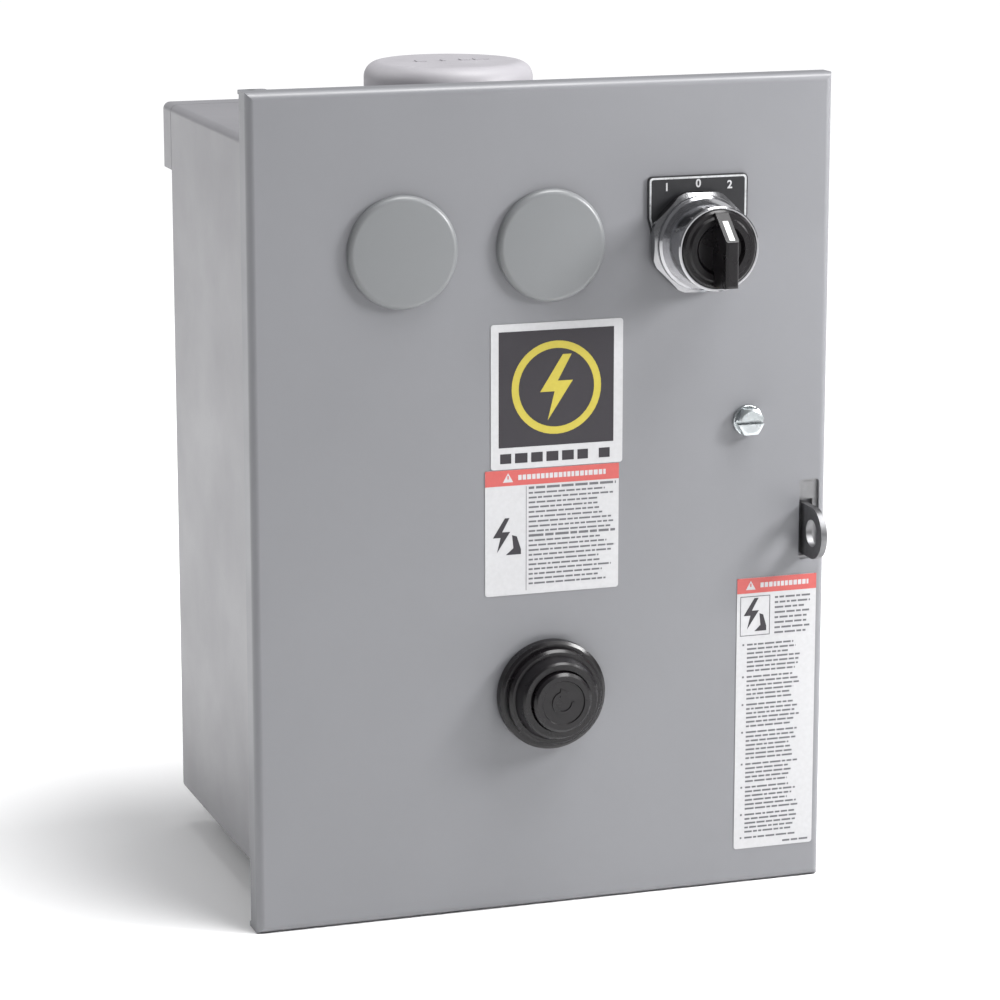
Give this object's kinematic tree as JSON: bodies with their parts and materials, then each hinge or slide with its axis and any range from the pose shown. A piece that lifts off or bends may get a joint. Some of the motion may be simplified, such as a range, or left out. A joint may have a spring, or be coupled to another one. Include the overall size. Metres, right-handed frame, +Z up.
{
  "type": "magnetic motor starter",
  "caption": "Wall-mounted sheet-steel motor starter cabinet with a hinged door, selector knob and reset button, and a contactor with an overload relay inside.",
  "frame": {"origin": "on the wall plane, at the centre of the four wall holes", "axes": "+X to the right seen from the front, +Y into the wall, +Z up"},
  "size_m": [0.2384, 0.206, 0.33],
  "materials": {
    "cabinet_paint": "satin grey enamel",
    "door_paint": "satin grey enamel",
    "slug_paint": "satin grey enamel",
    "cap_paint": "grey enamel on a casting",
    "plug_paint": "grey enamel",
    "zinc": "bright zinc plate",
    "tab_steel": "dull zinc plate",
    "screw_zinc": "bright zinc plate",
    "gasket": "matt foam rubber",
    "pan_steel": "galvanised",
    "lug_aluminium": "satin",
    "moulded_black": "matt phenolic",
    "laminations": "laminated steel",
    "coil_wrap": "varnished tape",
    "carrier_red": "moulded",
    "copper": "bright copper",
    "tinned": "tin plate",
    "thermal": "satin brass",
    "spring_steel": "bright",
    "legend_black": "black anodised with a bright border",
    "nut_chrome": "bright chrome",
    "bezel_chrome": "bright chrome",
    "switch_body": "moulded",
    "knob_black": "gloss black",
    "shaft_nylon": "natural nylon",
    "reset_black": "gloss black",
    "nut_zinc": "zinc plate",
    "label_print": "laminated print"
  },
  "bodies": {
    "cabinet": {"enclosure_body": "cabinet_paint", "wall_bracket_top": "cabinet_paint", "wall_rail_bottom": "cabinet_paint", "hinge_brackets": "cabinet_paint", "knockout_slugs": "slug_paint", "hub_closing_cap": "cap_paint", "screw_catch": "zinc", "hub_screws": "zinc", "pan_standoffs": "zinc", "pan_screws": "zinc", "base_plate_screws": "zinc", "interlock_screws": "zinc", "cover_screws": "zinc", "latch_bracket": "tab_steel", "hub_gasket": "gasket", "mounting_pan": "pan_steel", "contactor_base_plate": "pan_steel", "ground_lug": "lug_aluminium", "contactor_housing": "moulded_black", "arc_cover": "moulded_black", "holding_interlock": "moulded_black", "overload_housing": "moulded_black", "coil_terminals": "moulded_black", "magnet_core": "laminations", "coil": "coil_wrap", "load_straps": "copper", "line_terminals": "tinned", "line_terminal_screws": "tinned", "overload_terminals": "tinned", "thermal_unit_screws": "tinned", "thermal_units": "thermal", "return_springs": "spring_steel"},
    "door": {"door_panel": "door_paint", "hinge_pins": "zinc", "door_gasket": "gasket", "hasp_plate": "zinc", "plug_clips": "zinc", "closing_plugs": "plug_paint", "selector_legend_plate": "legend_black", "selector_ring_nut": "nut_chrome", "selector_bezel": "bezel_chrome", "selector_gasket": "gasket", "selector_mounting_body": "switch_body", "selector_contact_block": "switch_body", "selector_contact_screws": "tinned", "reset_guard": "reset_black", "reset_gasket": "gasket", "reset_nut": "nut_zinc", "reset_spring": "spring_steel", "door_labels": "label_print"},
    "contact_assembly": {"armature": "laminations", "contact_carrier": "carrier_red", "moving_contacts": "copper"},
    "reset_lever": {"overload_reset_lever": "carrier_red"},
    "knob": {"selector_knob": "knob_black", "selector_shaft": "shaft_nylon"},
    "reset": {"reset_button": "reset_black", "reset_rod": "shaft_nylon"},
    "cover_screw_turning": {"cover_screw": "screw_zinc", "screw_retainer": "zinc"}
  },
  "joints": [
    {"name": "door_hinge", "type": "hinge", "parent": "cabinet", "child": "door", "pos_m": [-0.11425, -0.1565, 0], "axis": [0, 0, -1], "range_deg": [0, 115]},
    {"name": "selector_turn", "type": "hinge", "parent": "door", "child": "knob", "pos_m": [0.0621, -0.185, 0.104], "axis": [0, -1, 0], "range_deg": [-45, 45]},
    {"name": "reset_push", "type": "slide", "parent": "door", "child": "reset", "axis": [0, 1, 0], "range_m": [0, 0.005], "stiffness_N_per_m": 400, "springref_m": -0.001, "deforming": ["reset_spring"]},
    {"name": "overload_reset_push", "type": "slide", "parent": "cabinet", "child": "reset_lever", "axis": [0, 1, 0], "range_m": [0, 0.005]},
    {"name": "armature_slide", "type": "slide", "parent": "cabinet", "child": "contact_assembly", "axis": [0, 1, 0], "range_m": [0, 0.0037], "stiffness_N_per_m": 800, "springref_m": -0.001, "deforming": ["return_springs"]},
    {"name": "cover_screw_spin", "type": "hinge", "parent": "door", "child": "cover_screw_turning", "pos_m": [0.08455, -0.168, 0.0309], "axis": [0, -1, 0], "continuous": true}
  ],
  "couplings": [
    {"joint": "overload_reset_push", "follows": "reset_push", "ratio": 1}
  ]
}
